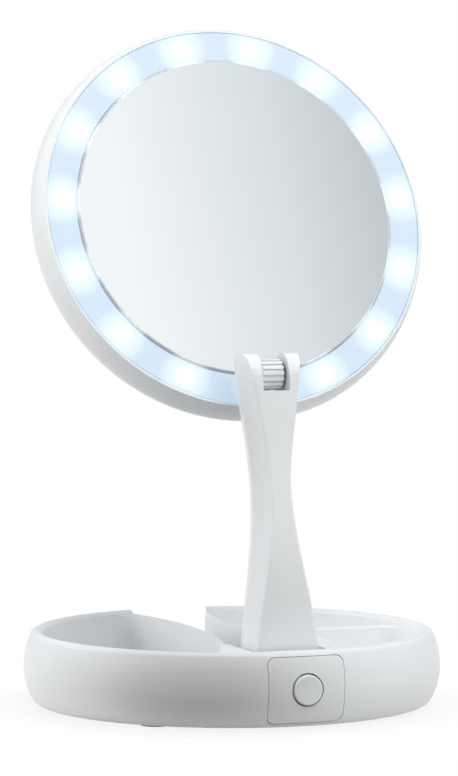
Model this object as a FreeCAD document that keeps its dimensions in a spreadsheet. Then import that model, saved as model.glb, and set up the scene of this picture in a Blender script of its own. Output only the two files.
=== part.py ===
"""Folding lighted makeup mirror: a round tray base, a folding arm and a lit two-sided mirror head.

The origin is the middle of the footprint on the table, the button side faces -Y and +Z is up.
The mirror stands open: the arm leans a little and the head is tilted back on the fork.
"""

import FreeCAD, Part
import math
import os
import re
import Sketcher

# Driving dimensions in millimetres and degrees
SIZES = {
    # Base housing, as heights above the table and radii from its axis
    "base_radius": 82.5,
    "belly_height": 15.6,
    "shoulder_inset": 2.6,
    "shoulder_height": 28.2,
    "rim_inset": 5.0,
    "rim_height": 29.8,
    "lip_width": 2.4,
    "deck_drop": 1.4,
    "deck_thickness": 2.0,
    "deck_round": 0.8,
    "base_wall": 2.2,
    "heel_inset": 3.6,
    "heel_height": 2.6,
    "sole_inset": 7.0,
    "foot_height": 1.0,
    "flange_inset": 10.5,
    "floor_height": 4.2,
    "floor_thickness": 1.4,
    "tub_wall": 1.6,
    # Pocket, arm channel and shallow tray in the base
    "pocket_corner": 9.0,
    "partition_width": 2.0,
    "channel_curve": 197.0,
    "channel_waist": 8.6,
    "waist_place": 19.6,
    "channel_lead": 13.5,
    "tray_inner": 27.0,
    "tray_far": 2.0,
    "tray_near_inset": 32.5,
    "tray_inset": 13.5,
    "tray_depth": 6.4,
    "tray_corner": 6.0,
    # Bottom plate, feet and plate screws
    "plate_inset": 9.2,
    "plate_thickness": 1.6,
    "plate_gap": 0.3,
    "foot_radius": 6.0,
    "foot_side_inset": 22.5,
    "foot_side_spread": 28.0,
    "foot_left_inset": 34.5,
    "foot_left_spread_inset": 36.5,
    "screw_radius": 1.3,
    "screw_head_radius": 2.6,
    "screw_head_height": 1.2,
    "screw_gap": 0.15,
    "boss_radius": 3.6,
    "plate_screw_length": 11.0,
    "screw_inset": 15.5,
    "screw_spread": 20.0,
    "screw_side": 2.0,
    # Battery bay under the right of the deck
    "cell_radius": 7.25,
    "spring_length": 2.0,
    "cell_pitch": 14.8,
    "bay_side_gap": 1.2,
    "cell_nub_radius": 2.6,
    "cell_nub_length": 1.2,
    "bay_inset": 29.9,
    "bay_gap": 0.35,
    "bay_wall": 1.6,
    "contact_size": 10.0,
    "contact_thickness": 0.4,
    "spring_radius": 4.2,
    "door_gap": 0.3,
    "grip_width": 14.0,
    "grip_depth": 0.5,
    "grip_pitch": 2.4,
    # Button panel, button and switch
    "panel_width": 30.6,
    "panel_margin": 0.2,
    "panel_corner": 3.2,
    "panel_gap": 0.2,
    "button_radius": 5.8,
    "button_gap": 0.6,
    "button_clearance": 2.2,
    "button_proud": 0.6,
    "button_edge": 0.8,
    "button_flange": 7.2,
    "button_flange_depth": 1.2,
    "button_travel": 1.2,
    "stem_radius": 3.0,
    "stem_inset": 6.9,
    "board_width": 18.0,
    "board_height": 16.0,
    "board_thickness": 1.4,
    "switch_size": 8.0,
    "switch_depth": 6.0,
    "plunger_size": 3.0,
    "plunger_gap": 0.2,
    "plunger_reach": 3.2,
    # Base hinge
    "hinge_inset": 33.0,
    "hinge_height": 14.4,
    "hinge_ear": 2.9,
    "hinge_wall": 3.0,
    "pin_radius": 2.0,
    "pin_fit": 0.06,
    "pin_end_gap": 0.4,
    "foot_side_gap": 0.7,
    "slot_front_gap": 0.8,
    # Arm, as distances from the base hinge along the arm
    "arm_length": 118.5,
    "arm_lean": 4.5,
    "arm_foot": 14.4,
    "arm_toe": 14.0,
    "ankle_station": 12.0,
    "ankle_front": 13.0,
    "ankle_side": 13.6,
    "ankle_depth": 13.0,
    "arm_foot_front": 13.0,
    "arm_heel": 7.4,
    "shin_station": 34.0,
    "shin_front": 9.4,
    "shin_side": 10.9,
    "shin_depth": 14.0,
    "waist_station": 66.0,
    "waist_front": 4.7,
    "waist_side": 7.8,
    "waist_depth": 11.5,
    "neck_below": 20.5,
    "neck_front": 6.4,
    "neck_side": 10.2,
    "neck_depth": 9.0,
    "fork_front": 10.6,
    "fork_side": 12.6,
    "fork_radius": 8.2,
    "arm_back": 7.4,
    "back_inset": 1.4,
    "back_round": 2.4,
    "front_round": 1.2,
    "fork_slot": 11.0,
    "slot_floor": 6.4,
    "slot_back_floor": 9.8,
    "wire_radius": 1.5,
    "wire_gap": 0.35,
    "wire_place": 3.6,
    "wire_start": 8.0,
    "wire_end_below": 12.5,
    "arm_screw_low": 26.0,
    "arm_screw_below": 26.5,
    "arm_screw_length": 11.0,
    # Head hinge
    "pivot_rise": 11.7,
    "pivot_front": 13.6,
    "barrel_radius": 6.0,
    "barrel_width": 8.6,
    "rib_width": 1.1,
    "rib_depth": 0.8,
    "neck_half_width": 4.0,
    "neck_half_height": 3.2,
    "neck_slot_gap": 0.5,
    "lug_half_width": 8.5,
    "lug_half_height": 3.7,
    "lug_thickness": 3.2,
    "lug_screw_place": 6.3,
    "head_pin_half": 9.2,
    "washer_radius": 4.6,
    "washer_thickness": 0.9,
    "washer_gap": 0.15,
    # Mirror head, as radii from its axis and depths behind the light ring's face
    "head_tilt": 19.4,
    "head_edge_inset": 2.6,
    "head_bulge": 80.7,
    "bulge_depth": 9.5,
    "head_back_inset": 3.4,
    "head_back_depth": 17.2,
    "head_depth": 18.0,
    "back_edge_inset": 4.4,
    "edge_wall": 0.7,
    "ring_width": 11.7,
    "ring_thickness": 2.0,
    "ring_gap": 0.3,
    "ring_crown": 0.5,
    "ring_ledge": 1.2,
    "web_depth": 6.4,
    "web_thickness": 1.6,
    "glass_proud": 1.0,
    "glass_thickness": 3.0,
    "glass_bevel": 0.5,
    "pad_inset": 2.6,
    "pad_thickness": 0.6,
    "carrier_inset": 0.2,
    "carrier_wall": 2.6,
    "carrier_plate": 1.2,
    "board_inset": 1.6,
    "board_gap": 0.4,
    "led_board_thickness": 1.2,
    "led_size": 5.0,
    "led_height": 1.6,
    "led_step": 24.0,
    "rear_wall": 4.2,
    "rear_ledge_width": 3.2,
    "rear_ledge_depth": 13.2,
    "rear_ledge_thickness": 1.2,
    "rear_glass_gap": 0.4,
    "rear_glass_edge": 2.0,
    "rear_glass_dish": 4.4,
    "bezel_width": 6.4,
    "bezel_gap": 0.25,
}

# Sizes that follow from the driving ones
TIED = {
    "shoulder_radius": "base_radius - shoulder_inset",
    "rim_radius": "base_radius - rim_inset",
    "heel_radius": "base_radius - heel_inset",
    "sole_radius": "base_radius - sole_inset",
    "flange_radius": "base_radius - flange_inset",
    "plate_radius": "base_radius - plate_inset",
    "tray_radius": "base_radius - tray_inset",
    "tray_near": "base_radius - tray_near_inset",
    "hinge_place": "base_radius - hinge_inset",
    "hinge_block_front": "hinge_place + arm_foot_front + slot_front_gap + hinge_wall",
    "channel_front": "hinge_place - channel_lead",
    "stem_end": "base_radius - stem_inset",
    "bay_half_length": "base_radius - bay_inset",
    "cell_length": "bay_half_length - contact_thickness - cell_nub_length - spring_length / 2",
    "cell_first": "arm_foot + foot_side_gap + hinge_ear + bay_side_gap + cell_radius",
    "foot_side": "base_radius - foot_side_inset",
    "foot_left": "base_radius - foot_left_inset",
    "foot_left_spread": "base_radius - foot_left_spread_inset",
    "screw_reach": "base_radius - screw_inset",
    "neck_station": "arm_length - neck_below",
    "wire_end": "arm_length - wire_end_below",
    "arm_screw_high": "arm_length - arm_screw_below",
    "pivot_drop": "head_bulge - pivot_rise",
    "head_edge": "head_bulge - head_edge_inset",
    "head_back": "head_bulge - head_back_inset",
    "back_edge": "head_bulge - back_edge_inset",
    "ring_outer": "head_edge - edge_wall - ring_gap",
    "ring_inner": "ring_outer - ring_width",
    "ledge_radius": "ring_outer - ring_ledge",
    "glass_radius": "ring_inner - ring_gap",
    "pad_radius": "glass_radius - pad_inset",
    "carrier_radius": "glass_radius - carrier_inset",
    "board_inner": "ring_inner + board_inset",
    "board_outer": "ledge_radius - board_gap",
    "led_circle": "ring_outer / 2 + ring_inner / 2",
    "rear_seat": "head_back - rear_wall",
    "rear_ledge": "rear_seat - rear_ledge_width",
    "rear_glass_radius": "rear_seat - rear_glass_gap",
    "bezel_inner": "rear_seat - bezel_width",
}

RIB_COUNT = 16
LED_COUNT = 15

doc = FreeCAD.newDocument("folding_mirror")
sheet = doc.addObject("Spreadsheet::Sheet", "Sizes")
for row, (name, amount) in enumerate(SIZES.items(), start=1):
    sheet.set("A%d" % row, name)
    sheet.set("B%d" % row, str(amount))
    sheet.setAlias("B%d" % row, name)
doc.recompute()

nodes = []
# How near an edge must lie to a place to be picked for rounding
PICK_REACH = 0.1


def size(name):
    """Read one dimension from the sheet, or work out one that is tied to others."""
    return value(TIED[name]) if name in TIED else float(sheet.get(name))


def value(text):
    """Work out a sum of products, such as 'rim_radius - lip_width / 2', from the sheet."""
    total = 0.0
    for term in re.findall(r"[+-]?[^+-]+", text.replace(" ", "")):
        product = -1.0 if term.startswith("-") else 1.0
        for factor in re.findall(r"[*/]?[\w.]+", term.lstrip("+-")):
            word = factor.lstrip("*/")
            amount = float(word) if word[0].isdigit() else size(word)
            product = product / amount if factor.startswith("/") else product * amount
        total += product
    return total


def bound(text):
    """Turn the same sum into an expression on the sheet's cells."""
    def cell(word):
        name = word.group(0)
        return "(%s)" % bound(TIED[name]) if name in TIED else "Sizes." + name
    return re.sub(r"[a-z]\w*", cell, text)


def bind(thing, **expressions):
    for name, text in expressions.items():
        thing.setExpression(name.replace("__", "."), bound(text))


def new_body(label):
    body = doc.addObject("PartDesign::Body", label)
    body.Label = label
    nodes.append(body)
    return body


def new_sketch(body, name, plane, lift="0"):
    sketch = body.newObject("Sketcher::SketchObject", name)
    support = [feature for feature in body.Origin.OriginFeatures if feature.Role == plane]
    sketch.AttachmentSupport = [(support[0], "")]
    sketch.MapMode = "FlatFace"
    if lift != "0":
        sketch.setExpression("AttachmentOffset.Base.z", bound(lift))
    return sketch


def fix(sketch, kind, text, *places):
    """Add a dimension and bind it to the sheet."""
    index = sketch.addConstraint(Sketcher.Constraint(kind, *places, value(text)))
    sketch.setExpression("Constraints[%d]" % index, bound(text))


def fix_point(sketch, geometry, position, across, along):
    """Place a point by its two distances from the sketch's origin."""
    for kind, axis, text in (("DistanceX", -2, across), ("DistanceY", -1, along)):
        if text == "0":
            sketch.addConstraint(Sketcher.Constraint("PointOnObject", geometry, position, axis))
        else:
            fix(sketch, kind, text, -1, 1, geometry, position)


def arc_centre(start, end, tangent, at_start):
    """Find the centre of the arc that leaves one of its ends upright or level."""
    touch, other = (start, end) if at_start else (end, start)
    across, along = other.x - touch.x, other.y - touch.y
    reach = (across * across + along * along) / 2.0
    if tangent == "upright":
        return FreeCAD.Vector(touch.x + reach / across, touch.y, 0)
    return FreeCAD.Vector(touch.x, touch.y + reach / along, 0)


def draw_loop(sketch, corners, arcs=None):
    """Draw a closed outline of lines; arcs maps an edge to ('upright' or 'level', 'start' or 'end')."""
    arcs = arcs or {}
    points = [FreeCAD.Vector(value(across), value(along), 0) for across, along in corners]
    ends = []
    first = sketch.GeometryCount
    for index, start in enumerate(points):
        end = points[(index + 1) % len(points)]
        if index not in arcs:
            sketch.addGeometry(Part.LineSegment(start, end), False)
            ends.append((1, 2))
            continue
        tangent, where = arcs[index]
        centre = arc_centre(start, end, tangent, where == "start")
        left_turn = (start - centre).cross(end - centre).z > 0
        head, tail = (start, end) if left_turn else (end, start)
        circle = Part.Circle(centre, FreeCAD.Vector(0, 0, 1), (start - centre).Length)
        angles = [math.atan2(point.y - centre.y, point.x - centre.x) for point in (head, tail)]
        sketch.addGeometry(Part.ArcOfCircle(circle, *angles), False)
        ends.append((1, 2) if left_turn else (2, 1))
    count = len(points)
    for index in range(count):
        following = (index + 1) % count
        joint = (first + index, ends[index][1], first + following, ends[following][0])
        sketch.addConstraint(Sketcher.Constraint("Coincident", *joint))
        fix_point(sketch, first + index, ends[index][0], *corners[index])
    for index, (tangent, where) in arcs.items():
        kind = "Horizontal" if tangent == "upright" else "Vertical"
        position = ends[index][0] if where == "start" else ends[index][1]
        sketch.addConstraint(Sketcher.Constraint(kind, first + index, 3, first + index, position))
    return sketch


def draw_circle(sketch, across, along, radius):
    centre = FreeCAD.Vector(value(across), value(along), 0)
    index = sketch.addGeometry(Part.Circle(centre, FreeCAD.Vector(0, 0, 1), value(radius)), False)
    fix_point(sketch, index, 3, across, along)
    fix(sketch, "Radius", radius, index)
    return sketch


def draw_box(sketch, left, near, right, far):
    return draw_loop(sketch, [(left, near), (right, near), (right, far), (left, far)])


def revolve(body, sketch, name="revolution"):
    feature = body.newObject("PartDesign::Revolution", name)
    feature.Profile = sketch
    feature.ReferenceAxis = (sketch, ["V_Axis"])
    feature.Angle = 360
    doc.recompute()
    return feature


def extrude(body, sketch, kind, name, length, reverse=False, both=False):
    """Pad or pocket a sketch; a pocket must take material away."""
    before = body.Shape.Volume if kind == "Pocket" else 0.0
    feature = body.newObject("PartDesign::" + kind, name)
    feature.Profile = sketch
    feature.Reversed = reverse
    if both:
        feature.SideType = "Symmetric"
    feature.setExpression("Length", bound(length))
    doc.recompute()
    if kind == "Pocket" and body.Shape.Volume > before - 1e-3:
        raise RuntimeError("%s of %s cuts nothing" % (name, body.Label))
    return feature


def round_edges(body, name, radius, wanted):
    """Round every edge of the body that is wanted."""
    base = body.Tip
    edges = ["Edge%d" % index for index, edge in enumerate(base.Shape.Edges, start=1) if wanted(edge)]
    feature = body.newObject("PartDesign::Fillet", name)
    feature.Base = (base, edges)
    feature.setExpression("Radius", bound(radius))
    doc.recompute()
    return feature


def upright_near(places):
    """Pick the edges along Z that stand at the given places."""
    def wanted(edge):
        extent = edge.BoundBox
        upright = extent.XLength < 1e-4 and extent.YLength < 1e-4
        away = [math.hypot(extent.Center.x - x, extent.Center.y - y) for x, y in places]
        return upright and min(away) < PICK_REACH
    return wanted


def group(label, members):
    """Keep several like solids as one sub-part."""
    compound = doc.addObject("Part::Compound", label)
    compound.Label = label
    compound.Links = members
    nodes.append(compound)
    return compound


def cylinder(name, radius, height, node=True):
    solid = doc.addObject("Part::Cylinder", name)
    bind(solid, Radius=radius, Height=height)
    if node:
        solid.Label = name
        nodes.append(solid)
    return solid


def box(name, length, width, height, node=True):
    solid = doc.addObject("Part::Box", name)
    bind(solid, Length=length, Width=width, Height=height)
    if node:
        solid.Label = name
        nodes.append(solid)
    return solid


def place(thing, across="0", along="0", up="0", axis=None, angle=0.0):
    """Turn a sub-part about an axis and put its origin somewhere, tied to the sheet."""
    if axis:
        thing.Placement = FreeCAD.Placement(FreeCAD.Vector(), FreeCAD.Rotation(FreeCAD.Vector(*axis), angle))
    for letter, text in (("x", across), ("y", along), ("z", up)):
        if text != "0":
            thing.setExpression("Placement.Base." + letter, bound(text))
    return thing


PIVOT_Y = bound("-hinge_place") + " + Sizes.arm_length * sin(Sizes.arm_lean * 1deg)"
PIVOT_Z = bound("hinge_height") + " + Sizes.arm_length * cos(Sizes.arm_lean * 1deg)"
HEAD_Y = "%s + %s * sin(Sizes.head_tilt * 1deg) + Sizes.pivot_front * cos(Sizes.head_tilt * 1deg)" % (
    PIVOT_Y, bound("pivot_drop"))
HEAD_Z = "%s + %s * cos(Sizes.head_tilt * 1deg) - Sizes.pivot_front * sin(Sizes.head_tilt * 1deg)" % (
    PIVOT_Z, bound("pivot_drop"))


def on_arm(thing):
    """Stand a sub-part that is drawn along the arm on the base hinge."""
    thing.Placement = FreeCAD.Placement(FreeCAD.Vector(), FreeCAD.Rotation(FreeCAD.Vector(1, 0, 0), -1))
    thing.setExpression("Placement.Rotation.Angle", "-Sizes.arm_lean * 1deg")
    thing.setExpression("Placement.Base.y", bound("-hinge_place"))
    thing.setExpression("Placement.Base.z", bound("hinge_height"))
    return thing


def on_head(thing):
    """Hang a sub-part that is drawn about the head's axis on the tilted head."""
    thing.Placement = FreeCAD.Placement(FreeCAD.Vector(), FreeCAD.Rotation(FreeCAD.Vector(1, 0, 0), -1))
    thing.setExpression("Placement.Rotation.Angle", "-Sizes.head_tilt * 1deg")
    thing.setExpression("Placement.Base.y", HEAD_Y)
    thing.setExpression("Placement.Base.z", HEAD_Z)
    return thing


def draw_pocket(sketch, rim, side, corner):
    """A lens between the rim's arc and the partition's arc, with rounded corners."""
    outer, inner, turn = value(rim), value(side), value(corner)
    middle = FreeCAD.Vector(-value("channel_curve + channel_waist"), value("waist_place"), 0)
    near, far = outer - turn, inner - turn
    apart = middle.Length
    along = (near * near - far * far + apart * apart) / (2 * apart)
    aside = math.sqrt(near * near - along * along)
    unit = middle / apart
    across = FreeCAD.Vector(-unit.y, unit.x, 0)
    centres = [unit * along - across * aside, unit * along + across * aside]
    back, front = sorted(centres, key=lambda point: -point.y)
    arcs = [(FreeCAD.Vector(), outer), (front, turn), (middle, inner), (back, turn)]
    meets = [back * (outer / near), front * (outer / near)]
    meets += [middle + (corner_centre - middle) * (inner / far) for corner_centre in (front, back)]
    for index, (centre, radius) in enumerate(arcs):
        start, end = meets[index], meets[(index + 1) % 4]
        angles = [math.atan2(point.y - centre.y, point.x - centre.x) for point in (start, end)]
        circle = Part.Circle(centre, FreeCAD.Vector(0, 0, 1), radius)
        sketch.addGeometry(Part.ArcOfCircle(circle, *angles), False)
    for index in range(4):
        sketch.addConstraint(Sketcher.Constraint("Tangent", index, 2, (index + 1) % 4, 1))
    sketch.addConstraint(Sketcher.Constraint("Coincident", 0, 3, -1, 1))
    fix_point(sketch, 2, 3, "-channel_curve - channel_waist", "waist_place")
    for index, text in enumerate((rim, corner, side, corner)):
        fix(sketch, "Radius", text, index)
    return sketch


def draw_channel(sketch, curve, back):
    """The hourglass that the folded arm lies in, between two mirrored arcs."""
    radius = value(curve)
    reach = value("channel_curve + channel_waist")
    middle_y = value("waist_place")
    sides = [math.asin((height - middle_y) / radius) for height in (-value("channel_front"), value(back))]
    up = FreeCAD.Vector(0, 0, 1)
    left = Part.Circle(FreeCAD.Vector(-reach, middle_y, 0), up, radius)
    right = Part.Circle(FreeCAD.Vector(reach, middle_y, 0), up, radius)
    left_arc = Part.ArcOfCircle(left, sides[0], sides[1])
    right_arc = Part.ArcOfCircle(right, math.pi - sides[1], math.pi - sides[0])
    sketch.addGeometry(left_arc, False)
    sketch.addGeometry(Part.LineSegment(left_arc.EndPoint, right_arc.StartPoint), False)
    sketch.addGeometry(right_arc, False)
    sketch.addGeometry(Part.LineSegment(right_arc.EndPoint, left_arc.StartPoint), False)
    for index in range(4):
        sketch.addConstraint(Sketcher.Constraint("Coincident", index, 2, (index + 1) % 4, 1))
    for index in (1, 3):
        sketch.addConstraint(Sketcher.Constraint("Horizontal", index))
    fix_point(sketch, 0, 3, "-channel_curve - channel_waist", "waist_place")
    fix_point(sketch, 2, 3, "channel_curve + channel_waist", "waist_place")
    fix(sketch, "Radius", curve, 0)
    fix(sketch, "Radius", curve, 2)
    fix(sketch, "DistanceY", "-channel_front", -1, 1, 0, 1)
    fix(sketch, "DistanceY", back, -1, 1, 0, 2)
    return sketch


def draw_tray(sketch, grow):
    """The shallow tray: three straight sides and an arc that follows the rim."""
    inner = value("tray_inner - " + grow)
    far = value("-tray_far + " + grow)
    near = value("-tray_near - " + grow)
    radius = value("tray_radius + " + grow)
    corners = [FreeCAD.Vector(math.sqrt(radius * radius - near * near), near, 0),
               FreeCAD.Vector(math.sqrt(radius * radius - far * far), far, 0),
               FreeCAD.Vector(inner, far, 0),
               FreeCAD.Vector(inner, near, 0)]
    circle = Part.Circle(FreeCAD.Vector(), FreeCAD.Vector(0, 0, 1), radius)
    angles = [math.atan2(point.y, point.x) for point in corners[:2]]
    sketch.addGeometry(Part.ArcOfCircle(circle, *angles), False)
    for index in (1, 2, 3):
        sketch.addGeometry(Part.LineSegment(corners[index], corners[(index + 1) % 4]), False)
    for index in range(4):
        sketch.addConstraint(Sketcher.Constraint("Coincident", index, 2, (index + 1) % 4, 1))
    sketch.addConstraint(Sketcher.Constraint("Coincident", 0, 3, -1, 1))
    fix(sketch, "Radius", "tray_radius + " + grow, 0)
    fix(sketch, "DistanceY", "-tray_near - " + grow, -1, 1, 0, 1)
    fix(sketch, "DistanceY", "-tray_far + " + grow, -1, 1, 0, 2)
    fix_point(sketch, 2, 1, "tray_inner - " + grow, "-tray_far + " + grow)
    fix_point(sketch, 3, 1, "tray_inner - " + grow, "-tray_near - " + grow)
    return [(point.x, point.y) for point in corners]


def draw_rounded(sketch, half_width, low, high, corner):
    """A rectangle about the sketch's upright axis with four round corners."""
    left, right = "-" + half_width.replace(" + ", " - "), half_width
    inset_left, inset_right = left + " + " + corner, right + " - " + corner
    corners = [(inset_left, low), (inset_right, low), (right, low + " + " + corner),
               (right, high + " - " + corner), (inset_right, high), (inset_left, high),
               (left, high + " - " + corner), (left, low + " + " + corner)]
    arcs = {1: ("level", "start"), 3: ("upright", "start"), 5: ("level", "start"), 7: ("upright", "start")}
    return draw_loop(sketch, corners, arcs)


def tray_edge(edge):
    """Pick the edges where the shallow tray opens through the deck."""
    extent = edge.BoundBox
    flat = extent.ZLength < 1e-4 and abs(extent.ZMin - value("rim_height - deck_drop")) < 1e-3
    inside = extent.XMin > value("tray_inner") - PICK_REACH
    within = inside and extent.XMax < value("tray_radius") + PICK_REACH
    return flat and within and extent.YMax < PICK_REACH - value("tray_far")


# Base housing: one moulding with the barrel wall, rim, deck and the tubs that hang from the deck
def make_base_housing():
    body = new_body("base_housing")
    profile = new_sketch(body, "housing_profile", "XZ_Plane")
    deck = "rim_height - deck_drop"
    draw_loop(profile, [
        ("sole_radius", "foot_height"),
        ("heel_radius", "heel_height"),
        ("base_radius", "belly_height"),
        ("shoulder_radius", "shoulder_height"),
        ("rim_radius", "rim_height"),
        ("rim_radius - lip_width", deck),
        ("0", deck),
        ("0", deck + " - deck_thickness"),
        ("shoulder_radius - base_wall", deck + " - deck_thickness"),
        ("base_radius - base_wall", "belly_height"),
        ("heel_radius - base_wall", "floor_height"),
        ("flange_radius", "floor_height"),
        ("flange_radius", "floor_height - floor_thickness"),
        ("plate_radius + plate_gap", "floor_height - floor_thickness"),
        ("plate_radius + plate_gap", "foot_height"),
    ], {0: ("level", "start"), 1: ("upright", "end"), 2: ("upright", "start"), 3: ("level", "end"),
        4: ("level", "start"), 8: ("upright", "end"), 9: ("upright", "start")})
    revolve(body, profile, "housing_shell")

    under = "floor_height - floor_thickness"
    depth = deck + " - floor_height + floor_thickness"
    tub = new_sketch(body, "pocket_tub", "XY_Plane", under)
    draw_pocket(tub, "rim_radius - lip_width + tub_wall", "channel_curve", "pocket_corner + tub_wall")
    extrude(body, tub, "Pad", "pocket_tub_pad", depth)
    sleeve = new_sketch(body, "channel_tub", "XY_Plane", under)
    draw_channel(sleeve, "channel_curve - tub_wall", "rim_radius - lip_width")
    extrude(body, sleeve, "Pad", "channel_tub_pad", depth)
    block = new_sketch(body, "hinge_block", "XY_Plane", under)
    reach = "arm_foot + foot_side_gap + hinge_ear"
    draw_box(block, "-arm_foot - foot_side_gap - hinge_ear", "-hinge_block_front", reach, "-channel_front")
    extrude(body, block, "Pad", "hinge_block_pad", depth)
    tray = new_sketch(body, "tray_tub", "XY_Plane", deck + " - tray_depth - tub_wall")
    draw_tray(tray, "tub_wall")
    extrude(body, tray, "Pad", "tray_tub_pad", "tray_depth + tub_wall")
    bosses = new_sketch(body, "screw_bosses", "XY_Plane", under)
    for across, along in plate_screw_places():
        draw_circle(bosses, across, along, "boss_radius")
    extrude(body, bosses, "Pad", "screw_boss_pad", depth + " - deck_thickness")
    ends = new_sketch(body, "bay_ends", "XY_Plane", under)
    left, right = "cell_first - cell_radius", "cell_first + cell_pitch + cell_radius"
    for near, far in (("bay_half_length", "bay_half_length + bay_wall"),
                      ("-bay_half_length - bay_wall", "-bay_half_length")):
        draw_box(ends, left, near, right, far)
    extrude(body, ends, "Pad", "bay_end_pad", depth + " - deck_thickness")

    pocket = new_sketch(body, "pocket_outline", "XY_Plane", "rim_height")
    draw_pocket(pocket, "rim_radius - lip_width", "channel_curve - partition_width", "pocket_corner")
    extrude(body, pocket, "Pocket", "pocket_cut", "rim_height - floor_height")
    channel = new_sketch(body, "channel_outline", "XY_Plane", "rim_height")
    draw_channel(channel, "channel_curve", "base_radius + base_wall")
    extrude(body, channel, "Pocket", "channel_cut", "rim_height - floor_height")
    slot = new_sketch(body, "foot_slot", "XY_Plane", "rim_height")
    draw_box(slot, "-arm_foot - foot_side_gap", "-hinge_place - arm_foot_front - slot_front_gap",
             "arm_foot + foot_side_gap", "-channel_front + foot_side_gap")
    extrude(body, slot, "Pocket", "foot_slot_cut", "rim_height - floor_height")
    hollow = new_sketch(body, "tray_outline", "XY_Plane", "rim_height")
    tray_corners = draw_tray(hollow, "0")
    extrude(body, hollow, "Pocket", "tray_cut", "deck_drop + tray_depth")
    round_edges(body, "tray_corners", "tray_corner", upright_near(tray_corners))
    round_edges(body, "tray_edges", "deck_round", tray_edge)
    window = new_sketch(body, "panel_window", "XZ_Plane", "shoulder_radius - 2 * base_wall")
    draw_rounded(window, "panel_width / 2 + panel_gap", "heel_height + panel_margin - panel_gap",
                 "shoulder_height - panel_margin + panel_gap", "panel_corner")
    extrude(body, window, "Pocket", "panel_window_cut", "base_radius - shoulder_radius + 3 * base_wall",
            reverse=True)
    bore = new_sketch(body, "hinge_bore", "YZ_Plane")
    draw_circle(bore, "-hinge_place", "hinge_height", "pin_radius + pin_fit / 3")
    extrude(body, bore, "Pocket", "hinge_bore_cut",
            "2 * arm_foot + 2 * foot_side_gap + 2 * hinge_ear - pin_end_gap", both=True)
    pilots = new_sketch(body, "screw_pilots", "XY_Plane", under)
    for across, along in plate_screw_places():
        draw_circle(pilots, across, along, "screw_radius + screw_gap")
    extrude(body, pilots, "Pocket", "screw_pilot_cut", "plate_screw_length", reverse=True)


def plate_screw_places():
    """Where the four plate screws stand, as text for the sketches."""
    return [("screw_spread", "-screw_reach"), ("-screw_spread", "-screw_reach"),
            ("screw_spread", "screw_reach"), ("screw_reach", "screw_side")]


# Bottom plate with the battery opening, its door, the rubber feet and the plate screws
def make_bottom():
    body = new_body("base_plate")
    disc = draw_circle(new_sketch(body, "plate_disc", "XY_Plane", "foot_height"), "0", "0", "plate_radius")
    extrude(body, disc, "Pad", "plate_pad", "plate_thickness")
    opening = new_sketch(body, "door_opening", "XY_Plane", "foot_height")
    draw_box(opening, "cell_first - cell_radius", "-bay_half_length",
             "cell_first + cell_pitch + cell_radius", "bay_half_length")
    extrude(body, opening, "Pocket", "door_opening_cut", "plate_thickness", reverse=True)
    shafts = new_sketch(body, "screw_holes", "XY_Plane", "foot_height")
    for across, along in plate_screw_places():
        draw_circle(shafts, across, along, "screw_radius + screw_gap")
    extrude(body, shafts, "Pocket", "screw_hole_cut", "plate_thickness", reverse=True)

    door = new_body("battery_door")
    panel = new_sketch(door, "door_outline", "XY_Plane", "foot_height")
    hinge_line = "bay_half_length - door_gap - plate_thickness / 2"
    draw_box(panel, "cell_first - cell_radius + door_gap", "-bay_half_length + door_gap",
             "cell_first + cell_pitch + cell_radius - door_gap", hinge_line)
    extrude(door, panel, "Pad", "door_pad", "plate_thickness")
    roll = new_sketch(door, "hinge_roll", "YZ_Plane", "cell_first - cell_radius + door_gap")
    draw_circle(roll, hinge_line, "foot_height + plate_thickness / 2", "plate_thickness / 2")
    extrude(door, roll, "Pad", "hinge_roll_pad", "cell_pitch + 2 * cell_radius - 2 * door_gap")
    grips = new_sketch(door, "grip_grooves", "XY_Plane", "foot_height")
    middle = "cell_first + cell_pitch / 2"
    for index in range(4):
        near = "-bay_half_length + %d * grip_pitch" % (index + 3)
        draw_box(grips, middle + " - grip_width / 2", near,
                 middle + " + grip_width / 2", near + " + grip_pitch / 2")
    extrude(door, grips, "Pocket", "grip_groove_cut", "grip_depth", reverse=True)

    feet = []
    for side, across, along in (("right", "foot_side", "foot_side_spread"),
                                ("left", "-foot_left", "foot_left_spread")):
        for end, sign in (("back", ""), ("front", "-")):
            foot = cylinder("foot_%s_%s" % (side, end), "foot_radius", "foot_height", node=False)
            feet.append(place(foot, across, sign + along))
    group("rubber_feet", feet)

    screws = []
    for index, (across, along) in enumerate(plate_screw_places()):
        shaft = cylinder("plate_screw_shaft_%d" % index, "screw_radius",
                         "plate_screw_length + plate_thickness", node=False)
        place(shaft, across, along, "foot_height")
        head = cylinder("plate_screw_head_%d" % index, "screw_head_radius", "foot_height / 2", node=False)
        place(head, across, along, "foot_height / 2")
        screw = doc.addObject("Part::Fuse", "plate_screw_%d" % index)
        screw.Base, screw.Tool = shaft, head
        screws.append(screw)
    group("plate_screws", screws)


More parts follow.
